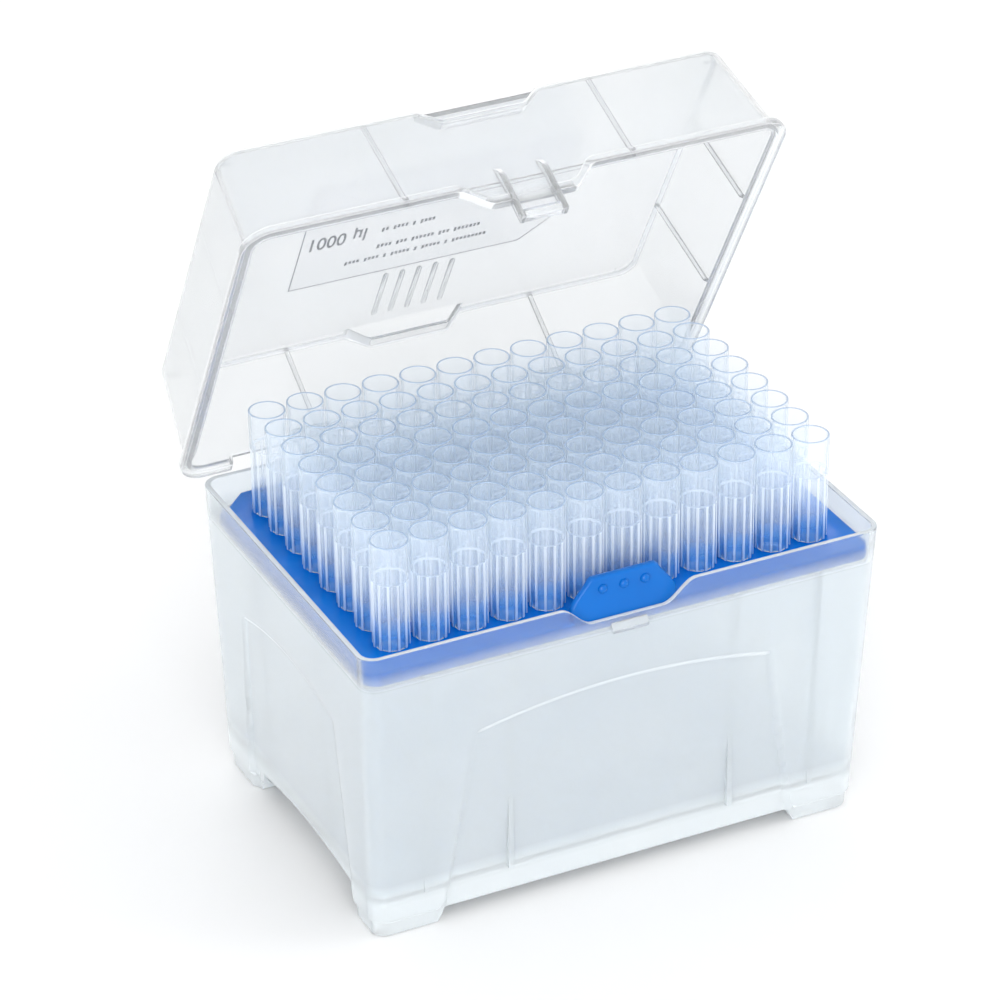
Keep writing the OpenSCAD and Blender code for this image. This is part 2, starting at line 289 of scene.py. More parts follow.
# An arched recess: half its width at the foot and where its arc springs, how high that is, and the arc's top
# and radius
Arch = namedtuple("Arch", "foot spring spring_z peak r")
LONG_ARCH = Arch(43.2, 35.8, 46, 52.3, 152)
SHORT_ARCH = Arch(28.7, 24.5, 45, 51.5, 82)
ARCH_DEPTH_LOW, ARCH_DEPTH_HIGH = 1.25, 0.55


def arch_inside(along, z, arch):
    """How far a point of a wall is inside its arched recess."""
    slope = (arch.foot - arch.spring) / arch.spring_z
    to_leg = (arch.foot - slope * z - abs(along)) * math.cos(math.atan(slope))
    to_arc = arch.r - math.hypot(along, z - (arch.peak - arch.r))
    return min(to_leg, to_arc)


def recess_depth(p, z):
    if p.along is None:
        return 0.0
    inside = arch_inside(p.along, z, SHORT_ARCH if p.nx else LONG_ARCH)
    return smooth(inside / 1.3) * lerp(ARCH_DEPTH_LOW, ARCH_DEPTH_HIGH, z / 52)


def foot_share(p):
    """1 over a foot, 0 between the feet."""
    if p.along is None:
        return 1.0
    if p.nx:
        low, high = FOOT_SIDE_Y
        return smooth((low - p.along) / 0.9) if p.along < 0 else smooth((p.along - high) / 0.9)
    return smooth((abs(p.along) - FOOT_FRONT_X) / 0.9)


def wall_foot_z(p):
    """The height of the wall's lower edge."""
    between = SKIRT_Z
    if p.along is not None and p.nx:
        between = SKIRT_Z + 0.3
        off = p.along - SIDE_GAP_Y
        if abs(off) < SIDE_GAP_REACH:
            between = max(between, math.sqrt(SIDE_GAP_R**2 - off**2) + SIDE_GAP_CENTRE_Z)
    return lerp(between, 0.0, foot_share(p))


NOTCH_TOP, NOTCH_BOTTOM, NOTCH_DEPTH = 15.1, 9.0, 4.9


def rim_dip(x, top, bottom, depth):
    """How far an edge dips at x, for a notch with sloping ends."""
    return depth * smooth((top - abs(x)) / (top - bottom))


def wall_top_z(p):
    if p.along is not None and p.ny < 0:
        return RIM_Z - rim_dip(p.along, NOTCH_TOP + 0.8, NOTCH_BOTTOM - 0.6, NOTCH_DEPTH)
    return RIM_Z


def base_shell():
    front = spread(-54, 54, 0.8, extra=(-42.6, 42.6))
    side = spread(-36, 36, 0.8)
    places = around(front, side, 8)

    def ring(z_of, inset):
        loop = []
        for p in places:
            z = z_of(p)
            x, y = base_at(p, z, inset)
            step = FOOT_INSET * smooth((SKIRT_Z + 1.0 - z) / 0.7) * foot_share(p)
            depth = recess_depth(p, z) + step
            loop.append((x - p.nx * depth, y - p.ny * depth, z))
        return loop

    def low_row(z):
        return lambda p: wall_foot_z(p) + z * (BAND_Z - wall_foot_z(p)) / BAND_Z

    def high_row(t):
        return lambda p: lerp(BAND_Z, wall_top_z(p), t)

    def foot_ring(z_of, extra):
        loop = []
        for p in places:
            z = z_of(p)
            inset = WALL + extra * foot_share(p)
            x, y = base_at(p, z, inset)
            depth = recess_depth(p, z)
            loop.append((x - p.nx * depth, y - p.ny * depth, z))
        return loop

    shelf = SKIRT_Z + 0.6
    loops = [ring(lambda p: FLOOR_UNDER, WALL + 0.5)]
    loops.append(ring(lambda p: max(FLOOR_UNDER - 0.4, wall_foot_z(p) + 0.3), WALL))
    loops.append(foot_ring(lambda p: max(shelf, wall_foot_z(p) + 0.2), 0.0))
    loops.append(foot_ring(lambda p: max(shelf, wall_foot_z(p) + 0.2), FOOT_THICK))
    loops.append(foot_ring(lambda p: wall_foot_z(p) + 0.15, FOOT_THICK))
    loops.append(foot_ring(lambda p: wall_foot_z(p), FOOT_THICK - 0.15))
    loops.append(ring(lambda p: wall_foot_z(p), 0.35))
    loops.append(ring(lambda p: wall_foot_z(p) + 0.08, 0.1))
    loops += [ring(low_row(z), 0) for z in spread(0.35, BAND_Z, 0.75)]
    loops += [ring(high_row(t), 0) for t in (0.25, 0.5, 0.7, 0.85, 0.97)]
    rim = ((0.25, 0.0), (0.07, 0.08), (0.0, 0.3), (0.0, WALL - 0.3), (0.07, WALL - 0.08), (0.25, WALL))
    loops += [ring(lambda p, drop=drop: wall_top_z(p) - drop, inset) for drop, inset in rim]
    loops += [ring(high_row(t), WALL) for t in (0.97, 0.85, 0.7, 0.5, 0.25)]
    inner = [ring(lambda p, z=z: z, WALL) for z in spread(FLOOR_TOP + 1.0, BAND_Z, 1.5)]
    loops += reversed(inner)
    loops.append(ring(lambda p: FLOOR_TOP + 0.3, WALL + 0.3))
    loops.append(ring(lambda p: FLOOR_TOP, WALL + 1.0))
    return loft(loops)


def base_ribs():
    """Upright ribs inside the walls, on which the plate's skirt rests."""
    top = PLATE_Z - SKIRT_DROP - 0.05
    parts = []
    half = 0.6
    heights = [lerp(FLOOR_TOP + 0.05, top, i / 10) for i in range(11)]
    plate = plate_edges()

    def rib(p, edge):
        loops = []
        for z in heights:
            x, y = base_at(p, z, WALL - 0.02)
            depth = recess_depth(p, z)
            x, y = x - p.nx * depth, y - p.ny * depth
            if p.nx:
                ends = sorted((x, edge))
                loops.append([(ends[0], y - half, z), (ends[1], y - half, z), (ends[1], y + half, z),
                              (ends[0], y + half, z)])
            else:
                ends = sorted((y, edge))
                loops.append([(x - half, ends[0], z), (x + half, ends[0], z), (x + half, ends[1], z),
                              (x - half, ends[1], z)])
        return loft(loops)

    for x in BASE_RIB_X:
        parts.append(rib(Place(0, -1, x, 0, -1), plate["front"] + 1.6))
        parts.append(rib(Place(0, 1, x, 0, 1), plate["rear"] - 1.6))
    for y in SIDE_RIB_Y:
        parts.append(rib(Place(1, 0, y, 1, 0), plate["x"] - 1.6))
        parts.append(rib(Place(-1, 0, y, -1, 0), -plate["x"] + 1.6))
    return joined(parts)


def base_catch():
    """The wedge under the notch that the lid's loop snaps over."""
    z = RIM_Z - NOTCH_DEPTH - 1.1
    y = -BASE_Y + FRONT_DRAFT * base_lean(z)
    outline = [(y + 0.3, z), (y - 0.2, z), (y - 1.2, z - 1.5), (y - 1.2, z - 2.1), (y + 0.3, z - 2.1)]
    return extruded(outline, (-4.3, 4.3))


def base_lugs():
    """Pairs of lugs on the rear wall, with the bores that the lid's pins turn in."""
    parts = []
    steps = 32
    wall_y = BASE_Y - REAR_DRAFT * base_lean(HINGE_Z)
    for station in (-HINGE_X, HINGE_X):
        for x in (LUG_X, (-LUG_X[1], -LUG_X[0])):
            loops = []
            for h, inset in ((x[0], 0.15), (x[0] + 0.15, 0), (x[1] - 0.15, 0), (x[1], 0.15)):
                ring = arc(HINGE_Y, HINGE_Z, LUG_R - inset, 0, 360, steps)[:-1]
                ring = [(max(wall_y - 0.3, y) if y > HINGE_Y - 0.01 else wall_y - 0.3,
                         HINGE_Z + (LUG_R - inset) * (1 if z > HINGE_Z else -1) if y <= HINGE_Y - 0.01 else z)
                        for y, z in ring]
                loops.append([(station + h, y, z) for y, z in ring])
            bore = [[(station + h, y, z) for y, z in arc(HINGE_Y, HINGE_Z, PIN_R + 0.05, 0, 360, steps)[:-1]]
                    for h in (x[1], x[0])]
            parts.append(loft(loops + bore, wrap=True))
    return joined(parts)


# ---------------------------------------------------------------- tip plate


def plate_edges():
    lean = base_lean(PLATE_Z)
    return {"x": BASE_X - LENGTH_DRAFT * lean - WALL - PLATE_GAP,
            "front": -BASE_Y + FRONT_DRAFT * lean + WALL + PLATE_GAP,
            "rear": BASE_Y - REAR_DRAFT * lean - WALL - PLATE_GAP}


CORNER_CUT = 7.0
HOLE_R = 3.5
TAB_TOP_Z = 77.0
TAB_FOOT_HALF, TAB_TOP_HALF = 12.5, 7.7
TAB_HOLLOW_R = 20


def plate_ring(places, inset, z):
    """The plate's outline with its cut corner at the rear left."""
    edges = plate_edges()
    x, rear = edges["x"] - inset, edges["rear"] - inset
    limit = x + rear - CORNER_CUT + 0.4 * inset
    loop = []
    for p in places:
        px, py = at(p, x, edges["front"] + inset, rear, 3)
        over = max(0.0, py - px - limit)
        loop.append((px + over / 2, py - over / 2, z))
    return loop


def plate_mesh(material):
    """Deck, holes and skirt. The two flat faces are filled between their outline and the holes."""
    places = around(spread(-54, 54, 1.5), spread(-36.5, 36.5, 1.5), 8)
    steps = 32
    under = PLATE_Z - DECK
    low = PLATE_Z - SKIRT_DROP
    outside = [(0.6, PLATE_Z), (0.3, PLATE_Z - 0.07), (0.08, PLATE_Z - 0.28), (0.0, PLATE_Z - 0.6),
               (0.0, low + 0.2), (0.2, low), (1.0, low), (1.2, low + 0.2), (1.2, under - 0.4), (1.6, under)]
    bm = bmesh.new()

    def add_loops(loops):
        rings = []
        for loop in loops:
            verts = [bm.verts.new(Vector(p) * MM) for p in loop]
            if rings:
                count = len(verts)
                for i in range(count):
                    j = (i + 1) % count
                    bm.faces.new((rings[-1][i], rings[-1][j], verts[j], verts[i]))
            rings.append(verts)
        ends = []
        for ring in (rings[0], rings[-1]):
            ends.append([bm.edges.get((ring[i], ring[(i + 1) % len(ring)])) for i in range(len(ring))])
        return ends

    top, bottom = add_loops([plate_ring(places, inset, z) for inset, z in outside])
    for column in range(COLUMNS):
        for row in range(ROWS):
            cx, cy = (column - (COLUMNS - 1) / 2) * PITCH, ((ROWS - 1) / 2 - row) * PITCH
            loops = []
            for r, z in ((HOLE_R + 0.25, PLATE_Z), (HOLE_R + 0.05, PLATE_Z - 0.08), (HOLE_R, PLATE_Z - 0.3),
                         (HOLE_R, under)):
                loops.append([(cx + dx, cy + dy, z) for dx, dy in arc(0, 0, r, 0, 360, steps)[:-1]])
            hole_top, hole_bottom = add_loops(loops)
            top += hole_top
            bottom += hole_bottom
    bmesh.ops.triangle_fill(bm, edges=top, use_beauty=True)
    bmesh.ops.triangle_fill(bm, edges=bottom, use_beauty=True)
    bmesh.ops.recalc_face_normals(bm, faces=bm.faces)
    mesh = bpy.data.meshes.new("tip_plate_deck")
    bm.to_mesh(mesh)
    bm.free()
    mesh.shade_smooth()
    mesh.set_sharp_from_angle(angle=math.radians(35))
    mesh.materials.append(material)
    return mesh


def plate_tab():
    """The finger tab at the front: its width shrinks upwards and its front face is hollowed."""
    front = plate_edges()["front"] + 0.2
    heights = spread(PLATE_Z - 0.9, TAB_TOP_Z - 0.6, 0.5)
    profile = [(z, 0.0) for z in heights]
    profile += [(TAB_TOP_Z - 0.3, 0.12), (TAB_TOP_Z - 0.09, 0.35), (TAB_TOP_Z, 0.7)]
    loops = []
    for z, inset in profile:
        half = TAB_FOOT_HALF
        if z > PLATE_Z + 2:
            up = (z - PLATE_Z - 2) / 7.4
            half = lerp(TAB_FOOT_HALF, TAB_TOP_HALF, smooth(up) * 0.55 + up * 0.45)
        half = half - inset
        hollow = TAB_HOLLOW_R - math.sqrt(TAB_HOLLOW_R**2 - (z - PLATE_Z - 5.4) ** 2)
        y0 = front + 0.6 - hollow * 0.9 + inset
        y1 = front + 2.2 - inset
        r = max(0.15, min(0.7, (y1 - y0) / 2 - 0.05))
        ring = []
        for cx, cy, start in ((half - r, y0 + r, 270), (half - r, y1 - r, 0), (-half + r, y1 - r, 90),
                              (-half + r, y0 + r, 180)):
            for i in range(5):
                turn = math.radians(start + 90 * i / 4)
                ring.append((cx + r * math.cos(turn), cy + r * math.sin(turn), z))
        loops.append(ring)
    parts = [loft(loops)]
    for x in (-5, 0, 5):
        parts.append(dome(x, front + 0.55, TAB_TOP_Z - 3.1, 1.1, 0.8))
    return joined(parts)


def dome(x, y, z, r, height):
    """A shallow dome facing the front."""
    steps, loops = 24, []
    for i in range(6):
        turn = math.radians(90 * i / 5)
        ring = arc(0, 0, max(r * math.cos(turn), 0.02), 0, 360, steps)[:-1]
        loops.append([(x + a, y - height * math.sin(turn), z + b) for a, b in ring])
    return loft([[(x + a, y + 0.6, z + b) for a, b in arc(0, 0, r, 0, 360, steps)[:-1]]] + loops)


# ---------------------------------------------------------------- tips


def tip_part():
    """One tip on the Z axis: a socket collar, twelve ribs below it, and a long tapered end."""
    collar_r, socket_r = 4.1, 3.7
    shoulder = TIP_RIM_Z - 9.0
    seat = PLATE_Z + 0.06
    ribs = 12
    within = [(-15, 0), (-9, 0), (-5.0, 0), (-3.4, 1), (0, 1), (3.4, 1), (5.0, 0), (9, 0)]
    turns = [(math.radians(rib * 360 / ribs + a), share) for rib in range(ribs) for a, share in within]

    def ring(z, r, rib_r=None):
        spokes = [(t, rib_r if share and rib_r else r) for t, share in turns]
        return [(reach * math.cos(t), reach * math.sin(t), z) for t, reach in spokes]

    outer = [(TIP_RIM_Z, 3.97), (TIP_RIM_Z - 0.04, 4.06), (TIP_RIM_Z - 0.14, collar_r),
             (shoulder + 0.25, collar_r), (shoulder + 0.05, collar_r - 0.05)]
    loops = [ring(z, r) for z, r in reversed(outer)]
    core_top, core_seat = 3.62, 3.4
    loops.insert(0, ring(shoulder - 0.3, core_top, 4.02))
    loops.insert(0, ring(lerp(seat, shoulder, 0.5), lerp(core_seat, core_top, 0.5), 4.02))
    loops.insert(0, ring(seat + 0.1, core_seat, 4.02))
    loops.insert(0, ring(seat, core_seat, 3.94))
    loops.insert(0, ring(seat, core_seat))
    taper = [(PLATE_Z - 2, core_seat - 0.05), (50, 2.65), (34, 1.85), (TIP_END_Z + 4, 1.05), (TIP_END_Z, 0.8)]
    for z, r in taper:
        loops.insert(0, ring(z, r))
    bore = [(TIP_END_Z, 0.4), (TIP_END_Z + 4, 0.62), (34, 1.42), (50, 2.22), (PLATE_Z - 2, 2.95),
            (shoulder - 0.4, 3.2), (shoulder - 0.05, 3.62), (shoulder + 0.1, socket_r),
            (TIP_RIM_Z - 0.14, socket_r), (TIP_RIM_Z - 0.04, 3.74), (TIP_RIM_Z, 3.83)]
    inner = [ring(z, r) for z, r in bore]
    return loft(loops + inner[::-1], wrap=True)


# ---------------------------------------------------------------- lid


def lid_up(z):
    return (z - EDGE_Z) / (ROOF_Z - EDGE_Z)


def lid_at(p, z, inset):
    t = lid_up(z)
    return at(p, lerp(LID_X - BEAD_OUT, ROOF_X, t) - inset, lerp(LID_FRONT + BEAD_OUT, ROOF_FRONT, t) + inset,
              lerp(LID_REAR - BEAD_OUT, ROOF_REAR, t) - inset, max(HOOD_R - inset, 0.8))


TONGUE_TOP, TONGUE_BOTTOM, TONGUE_DEPTH = 16.2, 10.2, 5.2
GAP_X, GAP_Z = 50.2, 74.35
POCKET_TOP, POCKET_BOTTOM, POCKET_DEPTH, POCKET_IN = 14.3, 9.8, 3.9, 2.7
LOOP_HALF = 4.95
LOOP_LOW_Z = 61.9
FIN_HALF = 0.55
GRIP_PITCH, GRIP_Y = 4.1, (20.4, 36.4)


def edge_z(p):
    """The height of the lid's lower edge, with the tongue at the front and the gap at the rear."""
    if p.along is not None and p.ny < 0:
        return EDGE_Z - rim_dip(p.along, TONGUE_TOP, TONGUE_BOTTOM - 1.2, TONGUE_DEPTH)
    if p.along is not None and p.ny > 0:
        return lerp(GAP_Z, EDGE_Z, smooth((abs(p.along) - GAP_X) / 0.5))
    return EDGE_Z


def bead_share(p):
    if p.along is not None and p.ny > 0:
        return smooth((abs(p.along) - GAP_X - 0.2) / 0.5)
    if p.along is not None and p.ny < 0:
        return smooth((abs(p.along) - LOOP_HALF + 0.6) / 0.5)
    return 1.0


def pocket_share(p):
    """1 in the pocket in the middle of the roof's front and rear edges, 0 away from it."""
    if p.along is None or p.nx:
        return 0.0
    return min(max((POCKET_TOP - abs(p.along)) / (POCKET_TOP - POCKET_BOTTOM), 0.0), 1.0)


def lid_places():
    near = (-GAP_X - 0.7, -GAP_X - 0.3, -GAP_X, GAP_X, GAP_X + 0.3, GAP_X + 0.7)
    return around(spread(-54.5, 54.5, 0.9, extra=near), spread(-36.5, 36.5, 2.5), 10)


def lid_shell():
    places = lid_places()

    def ring(spot):
        loop = []
        for p in places:
            inset, z = spot(p)
            x, y = lid_at(p, z, inset)
            loop.append((x, y, z))
        return loop

    def roof_low(p):
        return ROOF_Z - POCKET_DEPTH * pocket_share(p)

    def outer_round(turn):
        def spot(p):
            r = lerp(1.7, 0.7, pocket_share(p))
            return r - r * math.sin(turn), roof_low(p) - r + r * math.cos(turn)
        return spot

    def inner_round(turn):
        def spot(p):
            r = lerp(0.9, 0.5, pocket_share(p))
            return LID_WALL + r - r * math.sin(turn), roof_low(p) - LID_WALL - r + r * math.cos(turn)
        return spot

    quarter = [math.radians(a) for a in (0, 22.5, 45, 67.5, 90)]
    inner_z = ROOF_Z - LID_WALL
    deep = POCKET_IN + LID_WALL
    loops = [ring(lambda p: (deep + 0.3, inner_z)), ring(lambda p: (deep, inner_z)),
             ring(lambda p: (deep, lerp(inner_z, roof_low(p) - LID_WALL, 0.98)))]
    loops += [ring(inner_round(turn)) for turn in quarter]
    loops += [ring(lambda p, z=z: (LID_WALL, z)) for z in (90, 86, 82, 78)]

    def ridge(p):
        return 0.0 if p.ny > 0 and p.along is not None or p.sy > 0 else 0.6

    top, low = RIM_Z + 1.0, RIM_Z + 0.1
    loops.append(ring(lambda p: (LID_WALL, max(top, edge_z(p) + 0.5))))
    loops.append(ring(lambda p: (LID_WALL + ridge(p), max(top - 0.2, edge_z(p) + 0.4))))
    loops.append(ring(lambda p: (LID_WALL + ridge(p), max(low, edge_z(p) + 0.3))))
    loops.append(ring(lambda p: (LID_WALL, max(low, edge_z(p) + 0.25))))
    loops.append(ring(lambda p: (LID_WALL, edge_z(p) + 0.2)))
    loops.append(ring(lambda p: (LID_WALL - 0.15, edge_z(p))))

    def bead_spot(out, up):
        return lambda p: (-BEAD_OUT * out * bead_share(p), edge_z(p) + BEAD_HEIGHT * up)

    bead = ((0.0, 0.0), (0.75, 0.0), (0.93, 0.05), (1.0, 0.17), (1.0, 0.83), (0.93, 0.95), (0.75, 1.0),
            (0.1, 1.0), (0.0, 1.05))
    loops += [ring(bead_spot(out, up)) for out, up in bead]
    loops.append(ring(lambda p: (0.0, edge_z(p) + BEAD_HEIGHT + 0.6)))
    loops += [ring(lambda p, z=z: (0.0, z)) for z in (78, 82, 86, 90)]
    loops += [ring(outer_round(turn)) for turn in reversed(quarter)]
    loops += [ring(lambda p: (POCKET_IN, roof_low(p) + 0.02)),
              ring(lambda p: (POCKET_IN, lerp(roof_low(p), ROOF_Z, 0.98))),
              ring(lambda p: (POCKET_IN + 0.15, ROOF_Z)), ring(lambda p: (POCKET_IN + 1.0, ROOF_Z))]
    return opened(loft(loops))


def lid_ribs():
    """Thin upright ribs inside the lid's walls."""
    parts = []
    low, high = RIM_Z + 1.2, ROOF_Z - LID_WALL + 0.05

    def rib(p, half, depth):
        loops = []
        for z in (low, low + 0.6, lerp(low, high, 0.5), high):
            near = lid_at(p, z, LID_WALL - 0.02)
            far = lid_at(p, z, LID_WALL + (0.05 if z == low else depth))
            if p.nx:
                loops.append([(near[0], p.along - half, z), (far[0], p.along - half, z),
                              (far[0], p.along + half, z), (near[0], p.along + half, z)])
            else:
                loops.append([(p.along - half, near[1], z), (p.along - half, far[1], z),
                              (p.along + half, far[1], z), (p.along + half, near[1], z)])
        return loft(loops)

    for x in (-26.5, 26.5):
        parts.append(rib(Place(0, -1, x, 0, -1), 0.5, 0.9))
    for x in (-29, 32):
        parts.append(rib(Place(0, 1, x, 0, 1), 0.5, 0.7))
    for y in SIDE_RIB_Y:
        parts.append(rib(Place(1, 0, y, 1, 0), 0.5, 0.8))
        parts.append(rib(Place(-1, 0, y, -1, 0), 0.5, 0.8))
    return opened(joined(parts))


def lid_grips():
    """Low ribs on the roof behind the label, which a finger pushes against."""
    parts = []
    for i in range(5):
        x = (i - 2) * GRIP_PITCH
        loops = []
        for z, inset in ((ROOF_Z + 0.0, 0.0), (ROOF_Z + 0.25, 0.05), (ROOF_Z + 0.4, 0.3)):
            half = 0.65 - inset
            y0, y1 = GRIP_Y[0] + inset, GRIP_Y[1] - inset
            ring = []
            for cx, cy, start in ((0, y1 - half, 0), (0, y0 + half, 180)):
                ring += [(x + cx + half * math.cos(math.radians(start + a)),
                          cy + half * math.sin(math.radians(start + a)), z) for a in range(0, 181, 30)]
            loops.append(ring)
        parts.append(loft(loops))
    return opened(joined(parts))


def lid_latch():
    """Two fins that run down from the wall, and the bar between them that snaps under the catch."""
    outer, back = LID_FRONT - 0.9, LID_FRONT + 1.5
    low = LOOP_LOW_Z
    wall_y = lerp(LID_FRONT + BEAD_OUT, ROOF_FRONT, 5 / 25.5)
    outline = [(wall_y - 0.02, EDGE_Z + 5), (outer + 0.9, EDGE_Z + 3.2), (outer, EDGE_Z + 1), (outer, low),
               (back, low), (back, EDGE_Z), (wall_y - 0.3, EDGE_Z + 0.5)]
    parts = [extruded(outline, (s * LOOP_HALF - FIN_HALF, s * LOOP_HALF + FIN_HALF)) for s in (-1, 1)]
    bar_half = LOOP_HALF - 0.5
    parts.append(bar((-bar_half, bar_half), (outer + 0.1, back - 0.1), (low + 0.05, low + 2.15)))
    return opened(joined(parts))


def lid_arms():
    """The lid's two hinge arms, each with a barrel and a pin at either side."""
    parts = []
    y = lerp(LID_REAR - BEAD_OUT, ROOF_REAR, lid_up(GAP_Z))
    for station in (-HINGE_X, HINGE_X):
        parts.append(bar((station - 4.5, station + 4.5), (y - 1.0, y + 0.6), (HINGE_Z, HINGE_Z + 10)))
        parts.append(rod(HINGE_Y, HINGE_Z, 1.9, (station - 4.5, station + 4.5)))
        parts.append(rod(HINGE_Y, HINGE_Z, PIN_R, (station - 7.4, station + 7.4)))
    return opened(joined(parts))


def label_outline(inset):
    x0, x1, y0, y1, cut = -33 + inset, 31.5 - inset, -19 + inset, 19.3 - inset, 7.2 - 0.4 * inset
    return [(x0, y0), (x1, y0), (x1, y1 - cut), (x1 - cut, y1), (x0, y1)]


def label_film():
    low = ROOF_Z + 0.005
    return opened(loft([[(x, y, z) for x, y in label_outline(0.0)] for z in (low, ROOF_Z + 0.1)]))


def print_strip(points, z0, z1):
    return loft([[(x, y, z) for x, y in points] for z in (z0, z1)])


def label_print():
    """The print on the label: a frame and rows of blocks in place of words."""
    low, high = ROOF_Z + 0.1, ROOF_Z + 0.12
    outer, inner = label_outline(0.5), label_outline(0.75)
    count = len(outer)
    parts = []
    for i in range(count):
        j = (i + 1) % count
        parts.append(print_strip([outer[i], outer[j], inner[j], inner[i]], low, high))
    rows = ((12.0, -20, 1.35, (4, 4, 1, 5, 1, 5, 1, 9)), (7.7, -13, 1.5, (4, 3, 6, 3, 7)),
            (1.4, -13, 1.5, (2, 4, 1, 4)))
    for y, x, height, words in rows:
        for blocks in words:
            for i in range(blocks):
                tall = height * (1 if i == 0 else 0.78)
                block = [(x, y), (x + 0.62, y), (x + 0.62, y + tall), (x, y + tall)]
                parts.append(print_strip(block, low, high))
                x += 0.95
            x += 0.9
    return opened(joined(parts))


def volume_mark(material):
    """A generic volume, in the built-in face, lying on the label."""
    curve = bpy.data.curves.new("volume", "FONT")
    curve.body = "1000 µl"
    curve.size = 6.4
    curve.extrude = 0.01
    curve.offset = 0.08
    curve.resolution_u = 4
    text = bpy.data.objects.new("volume", curve)
    bpy.context.scene.collection.objects.link(text)
    bpy.context.view_layer.update()
    graph = bpy.context.evaluated_depsgraph_get()
    source = text.evaluated_get(graph).to_mesh()
    vertices = [(0.74 * v.co.x - 31.0, v.co.y + 0.2, ROOF_Z + 0.11 + v.co.z) for v in source.vertices]
    faces = [tuple(f.vertices) for f in source.polygons]
    bpy.data.objects.remove(text)
    return mesh_of("lid_label_volume", opened((vertices, faces)), material)


# ---------------------------------------------------------------- materials


def new_material(name):
    material = bpy.data.materials.new(name)
    material.use_nodes = True
    nodes, links = material.node_tree.nodes, material.node_tree.links
    shader = nodes["Principled BSDF"]
    where = nodes.new("ShaderNodeTexCoord")
    return material, nodes, links, shader, where.outputs["Object"]


def noise(nodes, links, where, scale, detail=2.0):
    node = nodes.new("ShaderNodeTexNoise")
    node.inputs["Scale"].default_value = scale
    node.inputs["Detail"].default_value = detail
    links.new(where, node.inputs["Vector"])
    return node.outputs["Fac"]


def colour_between(nodes, links, factor, low, high, places=(0.3, 0.7)):
    ramp = nodes.new("ShaderNodeValToRGB")
    ramp.color_ramp.elements[0].position, ramp.color_ramp.elements[1].position = places
    ramp.color_ramp.elements[0].color = (*low, 1)
    ramp.color_ramp.elements[1].color = (*high, 1)
    links.new(factor, ramp.inputs["Fac"])
    return ramp.outputs["Color"]


def clouded(nodes, links, where, shader, scale, low, high):
    """Gives a shader a colour that wanders between two."""
    colour = colour_between(nodes, links, noise(nodes, links, where, scale), low, high)
    links.new(colour, shader.inputs["Base Color"])


def bumped(nodes, links, shader, height, strength, distance):
    bump = nodes.new("ShaderNodeBump")
    bump.inputs["Strength"].default_value = strength
    bump.inputs["Distance"].default_value = distance
    links.new(height, bump.inputs["Height"])
    links.new(bump.outputs["Normal"], shader.inputs["Normal"])


def by_slant(nodes, links, flat, slanting, edge):
    """A share that grows from a face seen square on, through one seen at a slant, to one seen on edge."""
    weight = nodes.new("ShaderNodeLayerWeight")
    weight.inputs["Blend"].default_value = 0.5
    share = nodes.new("ShaderNodeFloatCurve")
    curve = share.mapping.curves[0]
    curve.points[0].location = (0.0, flat)
    curve.points[1].location = (1.0, edge)
    curve.points.new(0.7, slanting)
    share.mapping.update()
    links.new(weight.outputs["Facing"], share.inputs["Value"])
    return share.outputs["Value"]


def mixed(nodes, links, share, under, over):
    mix = nodes.new("ShaderNodeMixShader")
    if isinstance(share, float):
        mix.inputs["Fac"].default_value = share
    else:
        links.new(share, mix.inputs["Fac"])
    links.new(under, mix.inputs[1])
    links.new(over, mix.inputs[2])
    return mix.outputs["Shader"]


def number(nodes, links, operation, *inputs):
    """A number worked out from sockets and plain values."""
    node = nodes.new("ShaderNodeMath")
    node.operation = operation
    for i, value in enumerate(inputs):
        if isinstance(value, (int, float)):
            node.inputs[i].default_value = value
        else:
            links.new(value, node.inputs[i])
    return node.outputs["Value"]


def between(nodes, links, value, start, end):
    """0 at the start, 1 at the end, and even in between."""
    share = nodes.new("ShaderNodeMapRange")
    share.inputs["From Min"].default_value = start
    share.inputs["From Max"].default_value = end
    links.new(value, share.inputs["Value"])
    return share.outputs["Result"]


def hazy_film(nodes, links, haze, through, share):
    """Lets what is behind show through unbent, with a share of haze."""
    clear = nodes.new("ShaderNodeBsdfTransparent")
    clear.inputs["Color"].default_value = (*through, 1)
    return mixed(nodes, links, share, clear.outputs["BSDF"], haze)


def glossed(nodes, links, under, roughness):
    gloss = nodes.new("ShaderNodeBsdfGlossy")
    gloss.inputs["Roughness"].default_value = roughness
    return mixed(nodes, links, by_slant(nodes, links, 0.02, 0.05, 0.7), under, gloss.outputs["BSDF"])


def label_plastic():
    """A clear film."""
    material, nodes, links, body, where = new_material("label_film")
    clouded(nodes, links, where, body, 60, (0.75, 0.76, 0.77), (0.8, 0.8, 0.81))
    bumped(nodes, links, body, noise(nodes, links, where, 140, 1.0), 0.03, 0.0004)
    under = hazy_film(nodes, links, body.outputs["BSDF"], (0.985, 0.985, 0.99),
                      by_slant(nodes, links, 0.04, 0.06, 0.2))
    links.new(glossed(nodes, links, under, 0.15), nodes["Material Output"].inputs["Surface"])
    return material


